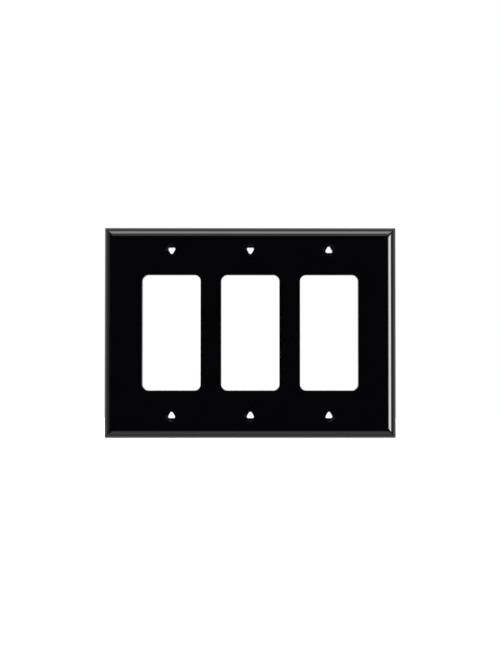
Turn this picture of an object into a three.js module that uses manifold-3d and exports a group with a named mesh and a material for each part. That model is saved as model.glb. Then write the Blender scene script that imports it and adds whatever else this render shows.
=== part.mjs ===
// Three-gang wall plate cover with rectangular device openings, and its six
// oval-head screws.
//
// Units are millimetres. The plate stands as it does on a wall: +X is to the
// right along its width, +Z is up, and the front faces -Y. The origin is the
// centre of the plane that the rear rim presses on the wall with, so every
// h below, a height above the wall towards the room, lies at Y = -h.
//
// The plate is one moulding: a flat face with a curved edge all round, hollow
// behind, with a lip round each opening, a boss behind each screw hole,
// stiffening ribs, and pairs of notched ribs that hold the loose screws in the
// hollow back until the plate is fitted.
import * as THREE from "three";
import { mergeVertices } from "three/addons/utils/BufferGeometryUtils.js";
import Module from "manifold-3d";

// ---------------------------------------------------------------- dimensions
const PLATE_WIDTH = 171.45; // 6.75 in, the mid-size three-gang width
const PLATE_HEIGHT = 123.83; // 4.875 in
const PLATE_DEPTH = 6.5; // rear rim to front face
const FACE_WALL = 2.0; // thickness of the flat face
const EDGE_WALL = 1.8; // thickness of the curved edge
const EDGE_RADIUS = 6.65; // radius of the edge's curved section
const EDGE_STEPS = 9; // facets across that curve
const CORNER_RADIUS = 0.7; // plan radius of the outer corner at the rim
const CREASE_CORNER_RADIUS = 1.1; // plan radius where the curve meets the face
const CORNER_STEPS = 4;

const GANG_PITCH = 46.04; // 1.8125 in between device centres
const GANGS = [-1, 0, 1];
const OPENING_WIDTH = 33.9;
const OPENING_HEIGHT = 67.4;
const OPENING_RADIUS = 3.5;
const OPENING_STEPS = 6;

const SCREW_SPACING = 96.84; // 3.8125 in between the two screws of a device
// Three-sided hole with rounded corners. Its flats are 1.6 mm from the centre,
// less than the screw thread's radius, so they hold a started screw captive.
const HOLE_CORNER_REACH = 1.3; // centre of the hole to centre of each corner
const HOLE_CORNER_RADIUS = 0.95;
const HOLE_CORNER_STEPS = 7;
const COUNTERSINK_RADIUS = 3.15;
const COUNTERSINK_ANGLE = 82; // included angle, degrees
// Which way the hole's point lies, by device and by row: +1 is up, -1 is down.
const HOLE_POINT_TOP = [-1, -1, 1];
const HOLE_POINT_BOTTOM = [1, 1, 1];

const LIP_WALL = 1.5; // lip round each opening
const LIP_TOP = 2.5; // h of its rear edge
const BOSS_RADIUS = 4.2;
const BOSS_END_RADIUS = 4.0;
const BOSS_TOP = 1.0; // h of the boss's rear face
const RIB_WALL = 1.1;
const RIB_TOP = 3.0; // h of the low stiffening ribs
const GUSSET_TOP = 2.2; // h of the ribs between boss and edge
const CROSS_RIB_Z = [-22, 0, 22];

const SCREW_MAJOR_RADIUS = 1.755; // No. 6 thread, 32 to the inch
const SCREW_TIP_RADIUS = 1.3;
const SCREW_HEAD_RADIUS = 3.3;
const SCREW_EDGE = 0.2; // upright edge between cone and raised top
const SCREW_OVAL = 1.0; // height of the raised top
const SCREW_LENGTH = 12.7; // 0.5 in from the head's edge to the tip
const SCREW_SLOT_WIDTH = 0.95;
const SCREW_SLOT_DEPTH = 1.15;
const SCREW_SIDES = 20;

const PARK_GAP = 0.3; // screw to plastic, where it is stored
const CRADLE_WALL = 1.2;
const CRADLE_WIDTH = 8.4;
const CRADLE_TOP = 0.3; // h of the cradle's rear edge
const CRADLE_OFFSETS = [-4.3, 1.6]; // from the middle of the stored screw
// Where the screws are stored: x, z, and which way the head points along X.
const PARKED = [
  [-GANG_PITCH / 2, SCREW_SPACING / 2, -1],
  [GANG_PITCH / 2, SCREW_SPACING / 2, 1],
  [-GANG_PITCH * 1.5, -SCREW_SPACING / 2, -1],
  [-GANG_PITCH / 2, -SCREW_SPACING / 2, -1],
  [GANG_PITCH / 2, -SCREW_SPACING / 2, 1],
  [GANG_PITCH * 1.5, -SCREW_SPACING / 2, 1],
];

// ------------------------------------------------------------------- helpers
const wasm = await Module();
wasm.setup();

function solid(geometry) {
  const g = geometry.clone();
  g.deleteAttribute("normal");
  g.deleteAttribute("uv");
  const m = mergeVertices(g, 1e-4);
  return new wasm.Manifold(
    new wasm.Mesh({
      numProp: 3,
      vertProperties: new Float32Array(m.attributes.position.array),
      triVerts: new Uint32Array(m.index.array),
    }),
  );
}

function geometryOf(body) {
  const m = body.getMesh();
  const g = new THREE.BufferGeometry();
  const v = new Float32Array((m.vertProperties.length / m.numProp) * 3);
  for (let i = 0; i < v.length / 3; i++)
    for (let k = 0; k < 3; k++) v[i * 3 + k] = m.vertProperties[i * m.numProp + k];
  g.setAttribute("position", new THREE.BufferAttribute(v, 3));
  g.setIndex(new THREE.BufferAttribute(new Uint32Array(m.triVerts), 1));
  const flat = g.toNonIndexed();
  flat.computeVertexNormals();
  return flat;
}

// Outline of a rounded rectangle, anticlockwise, centred on the origin.
function roundedRectangle(halfWidth, halfHeight, radius, steps) {
  const out = [];
  const corners = [
    [1, 1, 0],
    [-1, 1, 90],
    [-1, -1, 180],
    [1, -1, 270],
  ];
  for (const [sx, sy, start] of corners)
    for (let i = 0; i <= steps; i++) {
      const a = THREE.MathUtils.degToRad(start + (90 * i) / steps);
      out.push(
        new THREE.Vector2(
          sx * (halfWidth - radius) + radius * Math.cos(a),
          sy * (halfHeight - radius) + radius * Math.sin(a),
        ),
      );
    }
  return out;
}

// Closed solid through a stack of outlines with the same number of points,
// each given as {outline, h}, with h rising.
function loft(sections) {
  const n = sections[0].outline.length;
  const position = [];
  for (const { outline, h } of sections)
    for (const p of outline) position.push(p.x, p.y, h);
  const index = [];
  for (let s = 0; s + 1 < sections.length; s++)
    for (let i = 0; i < n; i++) {
      const a = s * n + i,
        b = s * n + ((i + 1) % n),
        c = a + n,
        d = b + n;
      index.push(a, b, d, a, d, c);
    }
  const cap = (outline, first, up) => {
    for (const [a, b, c] of THREE.ShapeUtils.triangulateShape(outline, []))
      index.push(...(up ? [a, b, c] : [a, c, b]).map((k) => k + first));
  };
  cap(sections[0].outline, 0, false);
  cap(sections.at(-1).outline, (sections.length - 1) * n, true);
  const g = new THREE.BufferGeometry();
  g.setAttribute("position", new THREE.Float32BufferAttribute(position, 3));
  g.setIndex(index);
  return g;
}

function extrude(outline, from, to) {
  const g = new THREE.ExtrudeGeometry(new THREE.Shape(outline), {
    depth: to - from,
    bevelEnabled: false,
  });
  return g.translate(0, 0, from);
}

function box(x0, x1, y0, y1, h0, h1) {
  return new THREE.BoxGeometry(x1 - x0, y1 - y0, h1 - h0).translate(
    (x0 + x1) / 2,
    (y0 + y1) / 2,
    (h0 + h1) / 2,
  );
}

// Round solid about an axis parallel to h, from a list of [radius, h].
function turned(profile, sides, x, y) {
  const g = new THREE.LatheGeometry(
    profile.map(([r, h]) => new THREE.Vector2(r, h)),
    sides,
  );
  return g.rotateX(Math.PI / 2).translate(x, y, 0);
}

// --------------------------------------------------------------------- plate
const halfW = PLATE_WIDTH / 2,
  halfH = PLATE_HEIGHT / 2;
const floorH = PLATE_DEPTH - FACE_WALL;
const bossY = SCREW_SPACING / 2;

function outerSections() {
  const start = Math.acos(PLATE_DEPTH / EDGE_RADIUS); // slope where it meets the face
  const out = [];
  for (let i = EDGE_STEPS; i >= 0; i--) {
    const slope = start + ((Math.PI / 2 - start) * i) / EDGE_STEPS;
    const inset = EDGE_RADIUS * (1 - Math.sin(slope));
    const r = THREE.MathUtils.lerp(
      CREASE_CORNER_RADIUS,
      CORNER_RADIUS,
      i / EDGE_STEPS,
    );
    out.push({
      outline: roundedRectangle(halfW - inset, halfH - inset, r, CORNER_STEPS),
      h: Math.max(0, EDGE_RADIUS * Math.cos(slope)),
    });
  }
  return out;
}

function cavitySections() {
  const inner = EDGE_RADIUS - EDGE_WALL;
  const last = Math.acos(floorH / inner);
  const out = [
    {
      outline: roundedRectangle(halfW - EDGE_WALL, halfH - EDGE_WALL, 0.9, 2),
      h: -1,
    },
  ];
  for (let i = 5; i >= 0; i--) {
    const slope = last + ((Math.PI / 2 - last) * i) / 5;
    const inset = EDGE_RADIUS - inner * Math.sin(slope);
    out.push({
      outline: roundedRectangle(halfW - inset, halfH - inset, 0.9, 2),
      h: Math.max(0.001, inner * Math.cos(slope)),
    });
  }
  return out;
}

// Outline of the three-sided screw hole: one corner points up for +1.
function holeOutline(x, y, direction) {
  const out = [];
  for (let corner = 0; corner < 3; corner++) {
    const middle = (direction * Math.PI) / 2 + (corner * 2 * Math.PI) / 3;
    const cx = x + HOLE_CORNER_REACH * Math.cos(middle),
      cy = y + HOLE_CORNER_REACH * Math.sin(middle);
    for (let i = 0; i <= HOLE_CORNER_STEPS; i++) {
      const a = middle + ((i / HOLE_CORNER_STEPS - 0.5) * 2 * Math.PI) / 3;
      out.push(
        new THREE.Vector2(
          cx + HOLE_CORNER_RADIUS * Math.cos(a),
          cy + HOLE_CORNER_RADIUS * Math.sin(a),
        ),
      );
    }
  }
  return out;
}

function openingOutline(x, grow) {
  return roundedRectangle(
    OPENING_WIDTH / 2 + grow,
    OPENING_HEIGHT / 2 + grow,
    OPENING_RADIUS + grow,
    OPENING_STEPS,
  ).map((p) => new THREE.Vector2(p.x + x, p.y));
}

const holes = GANGS.flatMap((gang, i) => [
  [gang * GANG_PITCH, bossY, HOLE_POINT_TOP[i]],
  [gang * GANG_PITCH, -bossY, HOLE_POINT_BOTTOM[i]],
]);

const parkH = floorH - SCREW_HEAD_RADIUS - PARK_GAP; // h of a stored screw's axis
const root = floorH + 0.6; // ribs start this deep inside the face wall

const edgeInset = EDGE_RADIUS - (EDGE_RADIUS - EDGE_WALL);
let plate = solid(loft(outerSections())).subtract(
  solid(loft(cavitySections())),
);

const added = [];
for (const gang of GANGS)
  added.push(extrude(openingOutline(gang * GANG_PITCH, LIP_WALL), LIP_TOP, root));
for (const [x, y] of holes) {
  added.push(
    turned(
      [
        [0, BOSS_TOP],
        [BOSS_END_RADIUS, BOSS_TOP],
        [BOSS_RADIUS, root],
        [0, root],
      ],
      28,
      x,
      y,
    ),
  );
  const s = Math.sign(y);
  const y0 = y + s * (BOSS_RADIUS - 0.6),
    y1 = s * (halfH - edgeInset - 0.7);
  added.push(
    box(
      x - RIB_WALL / 2,
      x + RIB_WALL / 2,
      Math.min(y0, y1),
      Math.max(y0, y1),
      GUSSET_TOP,
      root,
    ),
  );
}
const lipX = OPENING_WIDTH / 2 + LIP_WALL;
for (const y of CROSS_RIB_Z) {
  for (const s of [-1, 1]) {
    // between two openings
    const a = s * (lipX - 0.4),
      b = s * (GANG_PITCH - lipX + 0.4);
    added.push(
      box(Math.min(a, b), Math.max(a, b), y - RIB_WALL / 2, y + RIB_WALL / 2, RIB_TOP, root),
    );
    // between an outer opening and the plate's edge
    const c = s * (GANG_PITCH + lipX - 0.4),
      d = s * (halfW - edgeInset - 0.9);
    added.push(
      box(Math.min(c, d), Math.max(c, d), y - RIB_WALL / 2, y + RIB_WALL / 2, RIB_TOP, root),
    );
  }
}
for (const s of [-1, 1])
  added.push(
    box(
      (s * GANG_PITCH) / 2 - RIB_WALL / 2,
      (s * GANG_PITCH) / 2 + RIB_WALL / 2,
      CROSS_RIB_Z[0],
      CROSS_RIB_Z.at(-1),
      RIB_TOP + 0.3,
      root,
    ),
  );
for (const [x, y, head] of PARKED)
  for (const offset of CRADLE_OFFSETS) {
    const cx = x + head * offset;
    added.push(
      box(
        cx - CRADLE_WALL / 2,
        cx + CRADLE_WALL / 2,
        y - CRADLE_WIDTH / 2,
        y + CRADLE_WIDTH / 2,
        CRADLE_TOP,
        root,
      ),
    );
  }
for (const g of added) plate = plate.add(solid(g));

const cut = [];
for (const gang of GANGS)
  cut.push(extrude(openingOutline(gang * GANG_PITCH, 0), -2, PLATE_DEPTH + 2));
const coneTan = Math.tan(THREE.MathUtils.degToRad(COUNTERSINK_ANGLE / 2));
for (const [x, y, direction] of holes) {
  cut.push(extrude(holeOutline(x, y, direction), -2, PLATE_DEPTH + 2));
  const tip = PLATE_DEPTH - COUNTERSINK_RADIUS / coneTan;
  cut.push(
    turned(
      [
        [0, tip],
        [COUNTERSINK_RADIUS + coneTan, PLATE_DEPTH + 1],
        [0, PLATE_DEPTH + 1],
      ],
      36,
      x,
      y,
    ),
  );
}
// The notches that the stored screws drop into, open towards the wall.
const notch = SCREW_MAJOR_RADIUS + PARK_GAP;
for (const [x, y, head] of PARKED)
  for (const offset of CRADLE_OFFSETS) {
    const cx = x + head * offset;
    const profile = [];
    for (let i = 0; i <= 10; i++) {
      const a = (Math.PI * i) / 10;
      profile.push(
        new THREE.Vector2(notch * Math.cos(a), parkH + notch * Math.sin(a)),
      );
    }
    profile.push(new THREE.Vector2(-notch, -2), new THREE.Vector2(notch, -2));
    // drawn as (across, h), then stood up so that it runs along X
    const g = new THREE.ExtrudeGeometry(new THREE.Shape(profile), {
      depth: CRADLE_WALL + 0.6,
      bevelEnabled: false,
    });
    g.translate(0, 0, -(CRADLE_WALL + 0.6) / 2);
    g.applyMatrix4(
      new THREE.Matrix4().set(0, 0, 1, cx, 1, 0, 0, y, 0, 1, 0, 0, 0, 0, 0, 1),
    );
    cut.push(g);
  }
for (const g of cut) plate = plate.subtract(solid(g));

// --------------------------------------------------------------------- screw
// Turned about the h axis with the tip at the bottom, then slotted. h = 0 is
// the middle of its length.
const screwTop = (SCREW_LENGTH + SCREW_OVAL) / 2;
const headEdge = screwTop - SCREW_OVAL;
const headCone =
  (SCREW_HEAD_RADIUS - SCREW_MAJOR_RADIUS) /
  Math.tan(THREE.MathUtils.degToRad(COUNTERSINK_ANGLE / 2));
function screwBody() {
  const tip = headEdge - SCREW_LENGTH;
  const profile = [
    [0, tip],
    [SCREW_TIP_RADIUS, tip],
    [SCREW_MAJOR_RADIUS, tip + 0.7],
    [SCREW_MAJOR_RADIUS, headEdge - SCREW_EDGE - headCone],
    [SCREW_HEAD_RADIUS, headEdge - SCREW_EDGE],
    [SCREW_HEAD_RADIUS, headEdge],
  ];
  const R =
    (SCREW_HEAD_RADIUS ** 2 + SCREW_OVAL ** 2) / (2 * SCREW_OVAL); // raised top
  const sweep = Math.asin(SCREW_HEAD_RADIUS / R);
  for (let i = 1; i <= 4; i++) {
    const a = sweep * (1 - i / 4);
    profile.push([
      i === 4 ? 0 : R * Math.sin(a),
      headEdge + SCREW_OVAL - R * (1 - Math.cos(a)),
    ]);
  }
  const body = solid(turned(profile, SCREW_SIDES, 0, 0));
  return body.subtract(
    solid(
      box(
        -SCREW_SLOT_WIDTH / 2,
        SCREW_SLOT_WIDTH / 2,
        -SCREW_HEAD_RADIUS - 1,
        SCREW_HEAD_RADIUS + 1,
        screwTop - SCREW_SLOT_DEPTH,
        screwTop + 1,
      ),
    ),
  );
}
const screwGeometry = geometryOf(screwBody());

// ------------------------------------------------------------------ assembly
const blackPlastic = new THREE.MeshStandardMaterial({
  color: 0x08080a,
  roughness: 0.06,
  metalness: 0,
});
const blackPaintedSteel = new THREE.MeshStandardMaterial({
  color: 0x101012,
  roughness: 0.3,
  metalness: 0.4,
});

const group = new THREE.Group();
const upright = new THREE.Group(); // (x, y, h) stands up as (x, -h, y)
upright.rotation.x = Math.PI / 2;
group.add(upright);

const plateMesh = new THREE.Mesh(geometryOf(plate), blackPlastic);
plateMesh.name = "wall_plate";
upright.add(plateMesh);

PARKED.forEach(([x, y, head], i) => {
  const mesh = new THREE.Mesh(screwGeometry, blackPaintedSteel);
  mesh.name = `plate_screw_${i + 1}`;
  mesh.rotation.y = (head * Math.PI) / 2;
  mesh.position.set(x, y, parkH);
  upright.add(mesh);
});

export default group;
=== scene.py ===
# Three-gang wall plate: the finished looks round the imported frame.
# Everything is in metres in the frame's own axes: +X right, +Z up, front faces -Y,
# and the rear rim lies in the plane Y = 0.
import math

import bmesh
import bpy
from mathutils import Matrix, Vector


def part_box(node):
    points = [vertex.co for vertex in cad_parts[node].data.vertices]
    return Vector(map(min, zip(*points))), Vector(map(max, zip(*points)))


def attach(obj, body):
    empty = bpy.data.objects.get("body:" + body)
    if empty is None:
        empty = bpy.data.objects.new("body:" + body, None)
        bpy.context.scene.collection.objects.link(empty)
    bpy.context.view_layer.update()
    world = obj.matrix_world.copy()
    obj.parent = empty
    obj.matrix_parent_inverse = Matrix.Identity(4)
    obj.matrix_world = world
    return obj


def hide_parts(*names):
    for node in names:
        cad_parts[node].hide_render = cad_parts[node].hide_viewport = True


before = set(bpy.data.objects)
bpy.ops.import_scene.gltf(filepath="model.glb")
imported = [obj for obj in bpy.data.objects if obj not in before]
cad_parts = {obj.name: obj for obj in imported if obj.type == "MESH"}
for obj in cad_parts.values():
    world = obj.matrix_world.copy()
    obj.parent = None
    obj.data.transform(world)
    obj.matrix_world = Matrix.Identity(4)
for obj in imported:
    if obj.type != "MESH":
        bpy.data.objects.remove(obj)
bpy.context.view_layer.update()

MM = 0.001
plate_lo, plate_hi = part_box("wall_plate")
HALF_W = (plate_hi.x - plate_lo.x) / 2 / MM
HALF_H = (plate_hi.z - plate_lo.z) / 2 / MM
DEPTH = -plate_lo.y / MM  # rear rim to front face

# ------------------------------------------------------------------ sizes, mm
FACE_WALL = 2.0
EDGE_WALL = 1.8
EDGE_RADIUS = 6.65
CREASE_ROUND = 0.30
CORNER_RADIUS = 0.7
CREASE_CORNER = 1.1
GANG_PITCH = 46.04
OPEN_W, OPEN_H, OPEN_R = 33.9, 67.4, 3.5
OPEN_ROUND = 0.30
SCREW_SPACING = 96.84
HOLE_REACH, HOLE_ROUND = 1.3, 0.95
SINK_R, SINK_ANGLE = 3.15, 82.0
POINT_TOP, POINT_BOTTOM = (-1, -1, 1), (1, 1, 1)
LIP_WALL, LIP_TOP = 1.5, 2.5
BOSS_R, BOSS_END_R, BOSS_TOP = 4.2, 4.0, 1.0
RIB_WALL, RIB_TOP, GUSSET_TOP = 1.1, 3.0, 2.2
CROSS_RIBS = (-22.0, 0.0, 22.0)
CRADLE_WALL, CRADLE_WIDTH, CRADLE_TOP = 1.2, 8.4, 0.3
CRADLE_OFFSETS = (-4.3, 1.6)
SCREW_R, HEAD_R = 1.755, 3.3
SCREW_OVAL, SCREW_EDGE, SCREW_LEN = 1.0, 0.2, 12.7
SLOT_W, SLOT_D = 0.95, 1.15
PITCH = 25.4 / 32
PARK_GAP = 0.3

FLOOR_H = DEPTH - FACE_WALL  # h of the hollow's flat floor
ROOT = FLOOR_H + 0.6
PARK_H = FLOOR_H - HEAD_R - PARK_GAP
BOSS_Z = SCREW_SPACING / 2
LIP_X = OPEN_W / 2 + LIP_WALL


# ------------------------------------------------------------ mesh building
# Plan coordinates are (x, z) and h, the height above the wall towards the
# room; a point (x, z, h) stands at (x, -h, z).
def stand(x, z, h):
    return Vector((x * MM, -h * MM, z * MM))


def new_object(name, bm):
    bmesh.ops.recalc_face_normals(bm, faces=bm.faces)
    me = bpy.data.meshes.new(name)
    bm.to_mesh(me)
    bm.free()
    o = bpy.data.objects.new(name, me)
    bpy.context.scene.collection.objects.link(o)
    return o


def rounded(hw, hh, r, steps):
    out = []
    for sx, sy, start in ((1, 1, 0), (-1, 1, 90), (-1, -1, 180), (1, -1, 270)):
        for i in range(steps + 1):
            a = math.radians(start + 90 * i / steps)
            out.append(
                (sx * (hw - r) + r * math.cos(a), sy * (hh - r) + r * math.sin(a))
            )
    return out


def add_loft(bm, sections):
    """Closed solid through [(outline, h), ...]; every outline has as many points."""
    rings = [[bm.verts.new(stand(x, z, h)) for x, z in line] for line, h in sections]
    n = len(rings[0])
    for a, b in zip(rings, rings[1:]):
        for i in range(n):
            j = (i + 1) % n
            bm.faces.new((a[i], a[j], b[j], b[i]))
    bm.faces.new(rings[0])
    bm.faces.new(rings[-1])


def add_turned(bm, profile, x, z, sides):
    """Solid of revolution about h at (x, z) from [(r, h), ...], ends on the axis."""
    rings = []
    for r, h in profile:
        if r < 1e-6:
            rings.append([bm.verts.new(stand(x, z, h))])
        else:
            rings.append(
                [
                    bm.verts.new(
                        stand(
                            x + r * math.cos(2 * math.pi * i / sides),
                            z + r * math.sin(2 * math.pi * i / sides),
                            h,
                        )
                    )
                    for i in range(sides)
                ]
            )
    for a, b in zip(rings, rings[1:]):
        for i in range(sides):
            j = (i + 1) % sides
            if len(a) == 1:
                bm.faces.new((a[0], b[i], b[j]))
            elif len(b) == 1:
                bm.faces.new((a[i], a[j], b[0]))
            else:
                bm.faces.new((a[i], a[j], b[j], b[i]))


def add_rib(bm, p, q, wall, top, draft=0.12, edge=0.22):
    """Upright rib from plan point p to q, rounded along its free edge."""
    p, q = Vector(p), Vector(q)
    along = (q - p).normalized()
    side = Vector((-along.y, along.x))
    half = wall / 2
    section = [(half + draft, ROOT)]
    for i in range(5):
        a = math.pi / 2 * i / 4
        section.append(
            (half - edge + edge * math.cos(a), top + edge - edge * math.sin(a))
        )
    section += [(-s, h) for s, h in reversed(section)]
    rings = []
    for end in (p, q):
        rings.append(
            [
                bm.verts.new(stand(end.x + side.x * s, end.y + side.y * s, h))
                for s, h in section
            ]
        )
    n = len(section)
    for i in range(n):
        j = (i + 1) % n
        bm.faces.new((rings[0][i], rings[0][j], rings[1][j], rings[1][i]))
    bm.faces.new(rings[0])
    bm.faces.new(rings[1])


def boolean(target, cutter, operation):
    bpy.context.view_layer.objects.active = target
    m = target.modifiers.new("b", "BOOLEAN")
    m.operation = operation
    m.solver = "MANIFOLD"
    m.object = cutter
    dg = bpy.context.evaluated_depsgraph_get()
    me = bpy.data.meshes.new_from_object(target.evaluated_get(dg), depsgraph=dg)
    target.modifiers.clear()
    old = target.data
    target.data = me
    bpy.data.meshes.remove(old)
    data = cutter.data
    bpy.data.objects.remove(cutter)
    bpy.data.meshes.remove(data)


def quarter(steps):
    return [math.pi / 2 * i / steps for i in range(steps + 1)]


# -------------------------------------------------------------- outer shell
def outer_sections():
    crease = math.acos(DEPTH / EDGE_RADIUS)  # slope where the curve meets the face
    rise = CREASE_ROUND * (1 - math.cos(crease))
    run = CREASE_ROUND * math.sin(crease)
    radius = (DEPTH - rise) / math.cos(crease)
    rim = 0.18  # the rim's outer edge is just broken
    out = []
    for a in quarter(3):
        out.append((rim * (1 - math.sin(a)), rim * (1 - math.cos(a))))
    steps = 30
    for i in range(steps + 1):
        slope = math.pi / 2 + (crease - math.pi / 2) * i / steps
        h = radius * math.cos(slope)
        if h > rim + 0.05:
            out.append((radius * (1 - math.sin(slope)), h))
    last_inset = radius * (1 - math.sin(crease))
    for i in range(1, 6):
        slope = crease * (1 - i / 5)
        out.append(
            (
                last_inset + run - CREASE_ROUND * math.sin(slope),
                DEPTH - CREASE_ROUND * (1 - math.cos(slope)),
            )
        )
    total = out[-1][0]
    sections = []
    for inset, h in out:
        r = CORNER_RADIUS + (CREASE_CORNER - CORNER_RADIUS) * (inset / total)
        r = max(r, 0.3)
        sections.append((rounded(HALF_W - inset, HALF_H - inset, r, 8), h))
    return sections


def cavity_sections():
    inner = EDGE_RADIUS - EDGE_WALL
    last = math.acos(FLOOR_H / inner)
    out = [(EDGE_WALL - 0.15, -1.0), (EDGE_WALL - 0.15, -0.001)]
    for a in (30, 60, 90):
        out.append(
            (
                EDGE_WALL - 0.15 * math.cos(math.radians(a)) ** 2 * 0.6,
                0.02 + 0.13 * math.sin(math.radians(a)),
            )
        )
    steps = 14
    for i in range(1, steps + 1):
        slope = math.pi / 2 + (last - math.pi / 2) * i / steps
        h = inner * math.cos(slope)
        if h > 0.25:
            out.append((EDGE_RADIUS - inner * math.sin(slope), min(h, FLOOR_H)))
    return [(rounded(HALF_W - i, HALF_H - i, 0.9, 6), h) for i, h in out]


bm = bmesh.new()
add_loft(bm, outer_sections())
plate = new_object("wall_plate_moulding", bm)
bm = bmesh.new()
add_loft(bm, cavity_sections())
boolean(plate, new_object("hollow", bm), "DIFFERENCE")


# ------------------------------------------------------- ribs, lips, bosses
def opening(x, grow, steps=10):
    return [
        (px + x, pz)
        for px, pz in rounded(
            OPEN_W / 2 + grow, OPEN_H / 2 + grow, OPEN_R + grow, steps
        )
    ]


GANGS = (-1, 0, 1)
HOLES = []
for i, g in enumerate(GANGS):
    HOLES.append((g * GANG_PITCH, BOSS_Z, POINT_TOP[i]))
    HOLES.append((g * GANG_PITCH, -BOSS_Z, POINT_BOTTOM[i]))

screws = []  # (node, centre x, centre z, head direction)
for node in sorted(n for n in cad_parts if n.startswith("plate_screw_")):
    lo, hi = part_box(node)
    xs = [v.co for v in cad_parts[node].data.vertices]
    mid = (lo.z + hi.z) / 2
    left = max(abs(c.z - mid) for c in xs if c.x < lo.x + 2 * MM)
    right = max(abs(c.z - mid) for c in xs if c.x > hi.x - 2 * MM)
    screws.append(
        (node, (lo.x + hi.x) / 2 / MM, mid / MM, 1 if right > left else -1)
    )

# lips round the openings
bm = bmesh.new()
for g in GANGS:
    edge = 0.3
    sections = [(opening(g * GANG_PITCH, LIP_WALL + 0.10), ROOT)]
    for a in quarter(4):
        sections.append(
            (
                opening(g * GANG_PITCH, LIP_WALL - edge * (1 - math.cos(a))),
                LIP_TOP + edge * (1 - math.sin(a)),
            )
        )
    add_loft(bm, sections)
boolean(plate, new_object("lips", bm), "UNION")

# ribs that meet nothing of their own kind first, then the ones that cross them
wall_in = EDGE_WALL + 0.7
bm = bmesh.new()
for x, z, _ in HOLES:
    s = 1 if z > 0 else -1
    add_rib(
        bm,
        (x, z + s * (BOSS_R - 0.6)),
        (x, s * (HALF_H - wall_in)),
        RIB_WALL,
        GUSSET_TOP,
    )
for z in CROSS_RIBS:
    for s in (-1, 1):
        add_rib(bm, (s * (LIP_X - 0.4), z), (s * (GANG_PITCH - LIP_X + 0.4), z), RIB_WALL, RIB_TOP)
        add_rib(
            bm,
            (s * (GANG_PITCH + LIP_X - 0.4), z),
            (s * (HALF_W - EDGE_WALL - 0.9), z),
            RIB_WALL,
            RIB_TOP,
        )
boolean(plate, new_object("cross_ribs", bm), "UNION")
bm = bmesh.new()
for s in (-1, 1):
    add_rib(
        bm,
        (s * GANG_PITCH / 2, CROSS_RIBS[0] - 0.1),
        (s * GANG_PITCH / 2, CROSS_RIBS[-1] + 0.1),
        RIB_WALL,
        RIB_TOP + 0.3,
    )
boolean(plate, new_object("web_ribs", bm), "UNION")

# bosses, with a small fillet at the foot
bm = bmesh.new()
for x, z, _ in HOLES:
    profile = [(0, BOSS_TOP)]
    edge = 0.25
    for a in quarter(4):
        profile.append(
            (BOSS_END_R - edge + edge * math.sin(a), BOSS_TOP + edge * (1 - math.cos(a)))
        )
    foot = 0.45
    for a in quarter(4):
        profile.append(
            (BOSS_R + foot * (1 - math.cos(a)), FLOOR_H - foot + foot * math.sin(a))
        )
    profile.append((BOSS_R + foot, ROOT))
    profile.append((0, ROOT))
    add_turned(bm, profile, x, z, 64)
boolean(plate, new_object("bosses", bm), "UNION")

# notched ribs that hold the loose screws
bm = bmesh.new()
for _, x, z, head in screws:
    for off in CRADLE_OFFSETS:
        cx = x + head * off
        add_rib(
            bm,
            (cx, z - CRADLE_WIDTH / 2),
            (cx, z + CRADLE_WIDTH / 2),
            CRADLE_WALL,
            CRADLE_TOP,
            draft=0.08,
            edge=0.2,
        )
boolean(plate, new_object("cradles", bm), "UNION")

# --------------------------------------------------------------- all the cuts
bm = bmesh.new()
for g in GANGS:
    x = g * GANG_PITCH
    sections = [(opening(x, 0.2), -2.0), (opening(x, 0.2), LIP_TOP)]
    for a in quarter(3)[1:]:
        sections.append(
            (opening(x, 0.2 * (1 - math.sin(a))), LIP_TOP + 0.2 * (1 - math.cos(a)))
        )
    for a in quarter(6):
        sections.append(
            (
                opening(x, OPEN_ROUND * (1 - math.cos(a))),
                DEPTH - OPEN_ROUND + OPEN_ROUND * math.sin(a),
            )
        )
    sections.append((opening(x, OPEN_ROUND), DEPTH + 2))
    add_loft(bm, sections)
boolean(plate, new_object("openings", bm), "DIFFERENCE")


def three_sided(x, z, direction, grow=0.0, steps=16):
    out = []
    for corner in range(3):
        mid = direction * math.pi / 2 + corner * 2 * math.pi / 3
        cx, cz = x + HOLE_REACH * math.cos(mid), z + HOLE_REACH * math.sin(mid)
        for i in range(steps + 1):
            a = mid + (i / steps - 0.5) * 2 * math.pi / 3
            r = HOLE_ROUND + grow
            out.append((cx + r * math.cos(a), cz + r * math.sin(a)))
    return out


bm = bmesh.new()
for x, z, d in HOLES:
    sections = [(three_sided(x, z, d, 0.15), -2.0), (three_sided(x, z, d, 0.15), BOSS_TOP)]
    for a in quarter(3)[1:]:
        sections.append(
            (
                three_sided(x, z, d, 0.15 * (1 - math.sin(a))),
                BOSS_TOP + 0.15 * (1 - math.cos(a)),
            )
        )
    sections.append((three_sided(x, z, d), DEPTH + 2))
    add_loft(bm, sections)
boolean(plate, new_object("screw_holes", bm), "DIFFERENCE")

bm = bmesh.new()
slope = math.radians(SINK_ANGLE / 2)
for x, z, _ in HOLES:
    tip = DEPTH - SINK_R / math.tan(slope)
    profile = [(0, tip)]
    edge = 0.10  # rounding where the cone meets the face
    # the arc turns from the cone's slope to the flat face
    for i in range(5):
        a = slope + (math.pi / 2 - slope) * i / 4
        profile.append(
            (
                SINK_R + 0.05 - edge * (math.cos(slope) - 0) + edge * (math.cos(slope) - math.cos(a)) * 1.0,
                DEPTH - edge * (1 - math.sin(a)),
            )
        )
    last = profile[-1][0]
    profile += [(last, DEPTH + 1), (0, DEPTH + 1)]
    add_turned(bm, profile, x, z, 72)
boolean(plate, new_object("countersinks", bm), "DIFFERENCE")

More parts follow.
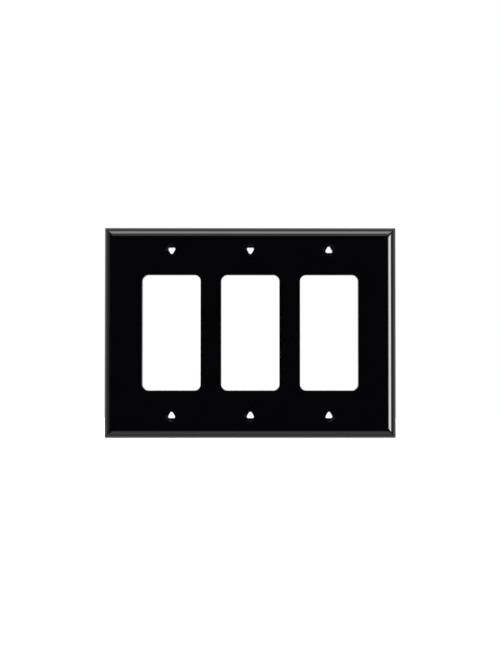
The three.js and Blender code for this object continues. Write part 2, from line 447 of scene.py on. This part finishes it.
# notches, open towards the wall, running along X
bm = bmesh.new()
r = SCREW_R + PARK_GAP
for _, x, z, head in screws:
    for off in CRADLE_OFFSETS:
        cx = x + head * off
        section = [
            (r * math.cos(math.pi * i / 20), PARK_H + r * math.sin(math.pi * i / 20))
            for i in range(21)
        ]
        section += [(-r, CRADLE_TOP + 0.45), (-r - 0.25, CRADLE_TOP), (-r - 0.25, -2.0)]
        section += [(r + 0.25, -2.0), (r + 0.25, CRADLE_TOP), (r, CRADLE_TOP + 0.45)]
        ends = []
        for ex in (cx - 1.2, cx + 1.2):
            ends.append([bm.verts.new(stand(ex, z + s, h)) for s, h in section])
        n = len(section)
        for i in range(n):
            j = (i + 1) % n
            bm.faces.new((ends[0][i], ends[0][j], ends[1][j], ends[1][i]))
        bm.faces.new(ends[0])
        bm.faces.new(ends[1])
boolean(plate, new_object("notches", bm), "DIFFERENCE")

# ejector-pin marks in the hollow's floor, a shallow ring-edged disc each
bm = bmesh.new()
MARKS = [(sx * 74.5, sz * 33.0) for sx in (-1, 1) for sz in (-1, 1)]
MARKS += [(sx * 74.5, sz * 11.0) for sx in (-1, 1) for sz in (-1, 1)]
MARKS += [(sx * GANG_PITCH / 2, sz * 39.6) for sx in (-1, 1) for sz in (-1, 1)]
for x, z in MARKS:
    add_turned(
        bm,
        [(0, FLOOR_H - 1), (2.45, FLOOR_H - 1), (2.40, FLOOR_H + 0.09), (2.3, FLOOR_H + 0.12), (0, FLOOR_H + 0.12)],
        x,
        z,
        48,
    )
boolean(plate, new_object("ejector_marks", bm), "DIFFERENCE")


def hollow_normal(co, face_centre, face_normal):
    """Exact normal on the hollow's curved wall, or None away from it.

    The wall is cut into uneven triangles by the ribs that meet it, so normals
    averaged over those triangles would show as ripples along it.
    """
    if abs(face_normal.x) > 1e-3 and abs(face_normal.z) > 1e-3:
        return None
    along_x = abs(face_normal.x) > abs(face_normal.z)
    half, mid, at = (HALF_W, face_centre.x, co.x) if along_x else (HALF_H, face_centre.z, co.z)
    inner = EDGE_RADIUS - EDGE_WALL
    side = 1 if mid > 0 else -1

    def reach(lateral, y):
        d, h = side * lateral / MM - (half - EDGE_RADIUS), -y / MM
        return d, h, math.hypot(d, h)

    d, h, r = reach(mid, face_centre.y)
    if abs(r - inner) > 0.05 or d <= 0 or h <= 0:
        return None
    d, h, r = reach(at, co.y)
    if abs(r - inner) > 0.02:
        return None
    n = Vector((-side * d, h, 0)) if along_x else Vector((0, h, -side * d))
    n.normalize()
    return n if n.dot(face_normal) > 0.9 else None


def finish_mesh(o, angle, materials, choose=None, exact=None):
    """Sharp edges by angle, smooth elsewhere, normals weighted to the large faces."""
    me = o.data
    me.materials.clear()  # this also resets every face, so it comes first
    for m in materials:
        me.materials.append(m)
    bm = bmesh.new()
    bm.from_mesh(me)
    bmesh.ops.remove_doubles(bm, verts=bm.verts, dist=1e-6)
    bmesh.ops.dissolve_degenerate(bm, edges=bm.edges, dist=1e-6)
    limit = math.radians(angle)
    for f in bm.faces:
        f.smooth = True
        f.material_index = choose(f) if choose else 0
    for e in bm.edges:
        e.smooth = len(e.link_faces) == 2 and e.calc_face_angle(0.0) < limit
    bm.to_mesh(me)
    bm.free()
    w = o.modifiers.new("weighted", "WEIGHTED_NORMAL")
    w.mode = "FACE_AREA"
    w.weight = 50
    w.keep_sharp = True
    if exact is None:
        return
    evaluated = o.evaluated_get(bpy.context.evaluated_depsgraph_get())
    weighted = evaluated.to_mesh()
    normals = [c.vector.copy() for c in weighted.corner_normals]
    evaluated.to_mesh_clear()
    o.modifiers.remove(w)
    for f in me.polygons:
        for i in f.loop_indices:
            n = exact(me.vertices[me.loops[i].vertex_index].co, f.center, f.normal)
            if n is not None:
                normals[i] = n
    me.normals_split_custom_set(normals)


# -------------------------------------------------------------------- nodes
def shader(name):
    m = bpy.data.materials.new(name)
    m.use_nodes = True
    t = m.node_tree
    return m, t, t.nodes["Principled BSDF"]


def noise(t, coord, scale, detail=3.0, rough=0.5):
    n = t.nodes.new("ShaderNodeTexNoise")
    n.inputs["Scale"].default_value = scale
    n.inputs["Detail"].default_value = detail
    n.inputs["Roughness"].default_value = rough
    t.links.new(coord, n.inputs["Vector"])
    return n.outputs["Fac"]


def ranged(t, value, lo, hi, a=0.3, b=0.7):
    n = t.nodes.new("ShaderNodeMapRange")
    n.inputs["From Min"].default_value = a
    n.inputs["From Max"].default_value = b
    n.inputs["To Min"].default_value = lo
    n.inputs["To Max"].default_value = hi
    t.links.new(value, n.inputs["Value"])
    return n.outputs["Result"]


def mixed(t, fac, a, b):
    n = t.nodes.new("ShaderNodeMix")
    n.data_type = "RGBA"
    n.inputs["A"].default_value = (*a, 1)
    n.inputs["B"].default_value = (*b, 1)
    t.links.new(fac, n.inputs["Factor"])
    return n.outputs["Result"]


def bumped(t, height, strength, distance, normal=None):
    n = t.nodes.new("ShaderNodeBump")
    n.inputs["Strength"].default_value = strength
    n.inputs["Distance"].default_value = distance
    t.links.new(height, n.inputs["Height"])
    if normal is not None:
        t.links.new(normal, n.inputs["Normal"])
    return n.outputs["Normal"]


def object_coord(t):
    return t.nodes.new("ShaderNodeTexCoord").outputs["Object"]


def gloss_front():
    m, t, p = shader("gloss_black_front")
    c = object_coord(t)
    flow = noise(t, c, 38.0, 2.0)
    t.links.new(mixed(t, ranged(t, flow, 0, 1), (0.0006, 0.0006, 0.0013), (0.0009, 0.0009, 0.0016)), p.inputs["Base Color"])
    t.links.new(ranged(t, noise(t, c, 260.0, 4.0), 0.022, 0.05), p.inputs["Roughness"])
    p.inputs["IOR"].default_value = 1.5
    peel = bumped(t, noise(t, c, 420.0, 2.0), 0.06, 0.00004)
    t.links.new(peel, p.inputs["Normal"])
    return m


def satin_back():
    m, t, p = shader("satin_black_back")
    c = object_coord(t)
    flow = noise(t, c, 30.0, 3.0)
    t.links.new(mixed(t, ranged(t, flow, 0, 1), (0.011, 0.011, 0.0115), (0.016, 0.016, 0.0165)), p.inputs["Base Color"])
    t.links.new(ranged(t, noise(t, c, 90.0, 4.0), 0.27, 0.38), p.inputs["Roughness"])
    p.inputs["IOR"].default_value = 1.5
    grain = bumped(t, noise(t, c, 5200.0, 2.0), 0.22, 0.00004)
    sink = bumped(t, noise(t, c, 60.0, 2.0), 0.12, 0.0003, grain)
    t.links.new(sink, p.inputs["Normal"])
    return m


def painted_head():
    m, t, p = shader("black_paint_head")
    c = object_coord(t)
    t.links.new(mixed(t, ranged(t, noise(t, c, 500.0, 3.0), 0, 1), (0.009, 0.009, 0.0095), (0.013, 0.013, 0.0135)), p.inputs["Base Color"])
    t.links.new(ranged(t, noise(t, c, 900.0, 4.0), 0.10, 0.22), p.inputs["Roughness"])
    p.inputs["IOR"].default_value = 1.52
    t.links.new(bumped(t, noise(t, c, 1500.0, 2.0), 0.12, 0.00005), p.inputs["Normal"])
    return m


def plated_shank():
    m, t, p = shader("zinc_plated_thread")
    c = object_coord(t)
    tone = noise(t, c, 700.0, 4.0)
    t.links.new(mixed(t, ranged(t, tone, 0, 1), (0.44, 0.44, 0.43), (0.58, 0.58, 0.585)), p.inputs["Base Color"])
    t.links.new(ranged(t, noise(t, c, 1600.0, 4.0), 0.20, 0.38), p.inputs["Roughness"])
    p.inputs["Metallic"].default_value = 1.0
    t.links.new(bumped(t, noise(t, c, 2600.0, 3.0), 0.15, 0.00004), p.inputs["Normal"])
    return m


front_mat, back_mat = gloss_front(), satin_back()
head_mat, shank_mat = painted_head(), plated_shank()


def plate_face(f):
    """Gloss outside and in the holes, satin in the hollow and on the rim."""
    c, n = f.calc_center_median(), f.normal
    h = -c.y / MM
    inset = min(HALF_W - abs(c.x) / MM, HALF_H - abs(c.z) / MM)
    if n.y > 0.9:  # faces the wall
        return 1
    for g in GANGS:
        if (
            abs(abs(c.x / MM - g * GANG_PITCH) - OPEN_W / 2) < 0.35
            and abs(c.z) / MM < OPEN_H / 2 + 0.35
            or abs(abs(c.z) / MM - OPEN_H / 2) < 0.35
            and abs(c.x / MM - g * GANG_PITCH) < OPEN_W / 2 + 0.35
        ):
            inward = Vector((g * GANG_PITCH * MM - c.x, 0, -c.z))
            return 0 if inward.dot(Vector((n.x, 0, n.z))) > 0 or h > FLOOR_H + 1 else 1
    if h > FLOOR_H + 0.2:
        return 0
    outward = Vector((c.x if HALF_W - abs(c.x) / MM < HALF_H - abs(c.z) / MM else 0, 0, c.z if HALF_W - abs(c.x) / MM >= HALF_H - abs(c.z) / MM else 0))
    if inset < 4.6 and outward.dot(Vector((n.x, 0, n.z))) > 0:
        return 0
    return 1


finish_mesh(plate, 32, [front_mat, back_mat], plate_face, hollow_normal)
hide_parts("wall_plate")
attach(plate, "plate")


# ------------------------------------------------------------------- screws
# Built about the local Z axis with the tip down, z = 0 at mid-length.
TOP = (SCREW_LEN + SCREW_OVAL) / 2
HEAD_EDGE = TOP - SCREW_OVAL
CONE = (HEAD_R - SCREW_R) / math.tan(math.radians(41))
TIP = HEAD_EDGE - SCREW_LEN


def lathe(profile, sides, name):
    bm = bmesh.new()
    rings = []
    for r, z in profile:
        if r < 1e-6:
            rings.append([bm.verts.new((0, 0, z * MM))])
        else:
            rings.append(
                [
                    bm.verts.new(
                        (
                            r * MM * math.cos(2 * math.pi * i / sides),
                            r * MM * math.sin(2 * math.pi * i / sides),
                            z * MM,
                        )
                    )
                    for i in range(sides)
                ]
            )
    for a, b in zip(rings, rings[1:]):
        for i in range(sides):
            j = (i + 1) % sides
            if len(a) == 1:
                bm.faces.new((a[0], b[i], b[j]))
            elif len(b) == 1:
                bm.faces.new((a[i], a[j], b[0]))
            else:
                bm.faces.new((a[i], a[j], b[j], b[i]))
    return new_object(name, bm)


def threaded_rod():
    """Grid that follows the helix, so that crest and root are clean lines."""
    major, minor = SCREW_R - 0.01, SCREW_R - 0.46
    across = [  # one pitch: root flat, flank, crest flat, flank
        (0.00, minor),
        (0.10, minor),
        (0.14, minor + 0.03),
        (0.44, major - 0.03),
        (0.48, major),
        (0.60, major),
        (0.64, major - 0.03),
        (0.94, minor + 0.03),
    ]
    sides = 48
    turns = int((SCREW_LEN + 4) / PITCH)
    bm = bmesh.new()
    rows = []
    start = TIP - 1.5
    for k in range(turns):
        for share, r in across:
            row = []
            for i in range(sides):
                a = 2 * math.pi * i / sides
                z = start + (k + share + i / sides) * PITCH
                row.append(
                    bm.verts.new((r * MM * math.cos(a), r * MM * math.sin(a), z * MM))
                )
            rows.append(row)
    n = len(across)
    for s in range(len(rows) - 1):
        for i in range(sides - 1):
            bm.faces.new(
                (rows[s][i], rows[s][i + 1], rows[s + 1][i + 1], rows[s + 1][i])
            )
    # the last column joins the first one a pitch higher up
    for s in range(len(rows) - 1 - n):
        bm.faces.new((rows[s][-1], rows[s + n][0], rows[s + n + 1][0], rows[s + 1][-1]))
    bmesh.ops.holes_fill(bm, edges=[e for e in bm.edges if e.is_boundary], sides=0)
    bmesh.ops.triangulate(bm, faces=[f for f in bm.faces if len(f.verts) > 4])
    return new_object("rod", bm)


def screw_mesh():
    rod = threaded_rod()
    envelope = lathe(
        [
            (0, TIP),
            (1.28, TIP),
            (1.36, TIP + 0.04),
            (SCREW_R, TIP + 0.62),
            (SCREW_R, HEAD_EDGE - SCREW_EDGE - CONE - 0.3),
            (SCREW_R - 0.5, HEAD_EDGE - SCREW_EDGE - CONE + 0.5),
            (0, HEAD_EDGE - SCREW_EDGE - CONE + 0.5),
        ],
        64,
        "envelope",
    )
    boolean(rod, envelope, "INTERSECT")
    R = (HEAD_R**2 + SCREW_OVAL**2) / (2 * SCREW_OVAL)
    sweep = math.asin(HEAD_R / R)
    profile = [(0, HEAD_EDGE - SCREW_EDGE - CONE - 0.1)]
    profile += [
        (SCREW_R - 0.16, HEAD_EDGE - SCREW_EDGE - CONE - 0.1),
        (SCREW_R - 0.06, HEAD_EDGE - SCREW_EDGE - CONE - 0.02),
        (SCREW_R + 0.05, HEAD_EDGE - SCREW_EDGE - CONE + 0.07),
        (HEAD_R - 0.06, HEAD_EDGE - SCREW_EDGE - 0.05),
        (HEAD_R, HEAD_EDGE - SCREW_EDGE + 0.04),
        (HEAD_R, HEAD_EDGE - 0.06),
        (HEAD_R - 0.05, HEAD_EDGE),
    ]
    for i in range(1, 11):
        a = sweep * (1 - i / 10)
        profile.append(
            (0 if i == 10 else R * math.sin(a) * 0.985, TOP - R * (1 - math.cos(a)))
        )
    head = lathe(profile, 96, "head")
    bm = bmesh.new()
    bmesh.ops.create_cube(bm, size=1.0)
    for v in bm.verts:
        v.co.x *= SLOT_W * MM
        v.co.y *= 9 * MM
        v.co.z = (TOP - SLOT_D) * MM if v.co.z < 0 else (TOP + 1) * MM
        if v.co.z < TOP * MM:
            v.co.x *= 0.94
    boolean(head, new_object("slot", bm), "DIFFERENCE")
    boolean(rod, head, "UNION")
    return rod


master = screw_mesh()
for k, (node, x, z, head) in enumerate(screws):
    me = master.data.copy()
    o = bpy.data.objects.new("oval_head_screw_%d" % (k + 1), me)
    bpy.context.scene.collection.objects.link(o)
    spin = Matrix.Rotation(math.radians((37, 152, 80, 11, 121, 64)[k % 6]), 4, "Z")
    lay = Matrix.Rotation(head * math.pi / 2, 4, "Y")
    place = Matrix.Translation(stand(x, z, PARK_H))
    me.transform(place @ lay @ spin)
    me.update()

    def screw_face(f, x=x, head=head):
        along = (f.calc_center_median().x / MM - x) * head
        return 0 if along > HEAD_EDGE - SCREW_EDGE - CONE - 0.02 else 1

    finish_mesh(o, 38, [head_mat, shank_mat], screw_face)
    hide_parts(node)
    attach(o, "screw_" + node.rsplit("_", 1)[1])
bpy.data.objects.remove(master)

# -------------------------------------------------------- floor, light, world
bm = bmesh.new()
bmesh.ops.create_grid(bm, x_segments=8, y_segments=8, size=3.0)
for v in bm.verts:
    v.co.z = -0.25
floor = new_object("pale_floor", bm)
m, t, p = shader("pale_floor")
t.links.new(mixed(t, ranged(t, noise(t, object_coord(t), 6.0, 3.0), 0, 1), (0.80, 0.80, 0.80), (0.84, 0.84, 0.84)), p.inputs["Base Color"])
p.inputs["Roughness"].default_value = 0.9
p.inputs["Specular IOR Level"].default_value = 0.1
floor.data.materials.append(m)
floor.visible_glossy = False

sun = bpy.data.lights.new("overhead", "SUN")
sun.energy = 3.4
sun.angle = math.radians(30)
sun_o = bpy.data.objects.new("overhead", sun)
bpy.context.scene.collection.objects.link(sun_o)
sun_o.visible_glossy = False

# A second soft source from the wall side, so the hollow back reads too. It
# falls from the upper right, and the plate shades its own front from it.
back_sun = bpy.data.lights.new("wall_side", "SUN")
back_sun.energy = 4.5
back_sun.angle = math.radians(12)
back_sun_o = bpy.data.objects.new("wall_side", back_sun)
bpy.context.scene.collection.objects.link(back_sun_o)
back_sun_o.rotation_euler = Vector((-0.55, -1.0, -0.65)).to_track_quat("-Z", "Y").to_euler()
back_sun_o.visible_glossy = False

# The studio is a dim room and four soft boxes drawn on the world, by
# theta, the angle from the plate's front axis, and phi, the clock angle
# round that axis (0 right, 90 up).
world = bpy.data.worlds.new("studio")
bpy.context.scene.world = world
world.use_nodes = True
t = world.node_tree
t.nodes.clear()


def wire(value, socket):
    if isinstance(value, (int, float)):
        socket.default_value = value
    else:
        t.links.new(value, socket)


def calc(op, a, b=None, c=None, clamp=False):
    n = t.nodes.new("ShaderNodeMath")
    n.operation = op
    n.use_clamp = clamp
    wire(a, n.inputs[0])
    if b is not None:
        wire(b, n.inputs[1])
    if c is not None:
        wire(c, n.inputs[2])
    return n.outputs[0]


coord = t.nodes.new("ShaderNodeTexCoord")
xyz = t.nodes.new("ShaderNodeSeparateXYZ")
t.links.new(coord.outputs["Generated"], xyz.inputs[0])
dx, dy, dz = xyz.outputs
theta = calc("MULTIPLY", calc("ARCCOSINE", calc("MULTIPLY", dy, -1.0)), 180 / math.pi)
phi = calc("MULTIPLY", calc("ARCTAN2", dz, dx), 180 / math.pi)  # -180 .. 180


def soft_edge(away, half, soft):
    """1 within half degrees, falling evenly to 0 at half + soft degrees."""
    return calc("SUBTRACT", 1.0, calc("DIVIDE", calc("SUBTRACT", away, half), soft, clamp=True))


def soft_box(strength, clock, clock_half, clock_soft, tilt, tilt_half, tilt_soft):
    """A soft box at a clock angle round the plate, tilted back from straight in front of it."""
    round_it = calc("ABSOLUTE", calc("WRAP", calc("SUBTRACT", phi, clock), 180.0, -180.0))
    back = calc("ABSOLUTE", calc("SUBTRACT", theta, tilt))
    shape = calc("MULTIPLY", soft_edge(round_it, clock_half, clock_soft), soft_edge(back, tilt_half, tilt_soft))
    return calc("MULTIPLY", shape, strength)


# A dim room that is lighter behind the plate, and four soft boxes round it.
level = calc("ADD", 0.02, calc("MULTIPLY", soft_edge(calc("SUBTRACT", 180.0, theta), 70, 60), 0.7))
for box in (
    (18.0, 0, 10, 10, 50, 4, 14),  # right
    (5.0, 90, 15, 20, 70, 5, 15),  # top
    (1.0, 90, 30, 20, 45, 15, 10),  # top, in front
    (0.8, -90, 25, 20, 60, 10, 15),  # bottom
):
    level = calc("ADD", level, soft_box(*box))

path = t.nodes.new("ShaderNodeLightPath")
studio = t.nodes.new("ShaderNodeBackground")
studio.inputs["Color"].default_value = (1.0, 1.0, 1.0, 1)
t.links.new(level, studio.inputs["Strength"])
plain = t.nodes.new("ShaderNodeBackground")
plain.inputs["Color"].default_value = (1, 1, 1, 1)
t.links.new(
    calc("ADD", 0.35, calc("MULTIPLY", path.outputs["Is Camera Ray"], 0.65)),
    plain.inputs["Strength"],
)
blend = t.nodes.new("ShaderNodeMixShader")
t.links.new(path.outputs["Is Glossy Ray"], blend.inputs[0])
t.links.new(plain.outputs[0], blend.inputs[1])
t.links.new(studio.outputs[0], blend.inputs[2])
out = t.nodes.new("ShaderNodeOutputWorld")
t.links.new(blend.outputs[0], out.inputs["Surface"])

# ------------------------------------------------------------------- camera
cam = bpy.data.cameras.new("camera")
cam_o = bpy.data.objects.new("camera", cam)
bpy.context.scene.collection.objects.link(cam_o)
cam.sensor_width = 36.0
cam.lens = 1017.5 / 667 * 36
cam.clip_start = 0.01
cam.clip_end = 50
cam_o.location = (-0.00316, -0.600, -0.00999)
yaw, pitch, roll = 0.00496, 0.01608, 0.00029
forward = Vector((math.sin(yaw) * math.cos(pitch), math.cos(yaw) * math.cos(pitch), math.sin(pitch)))
cam_o.rotation_euler = (
    forward.to_track_quat("-Z", "Y").to_matrix().to_4x4() @ Matrix.Rotation(roll, 4, "Z")
).to_euler()
scene = bpy.context.scene
scene.camera = cam_o
scene.view_settings.view_transform = "Standard"
scene.view_settings.look = "None"
scene.view_settings.exposure = 0.0
scene.view_settings.gamma = 1.0
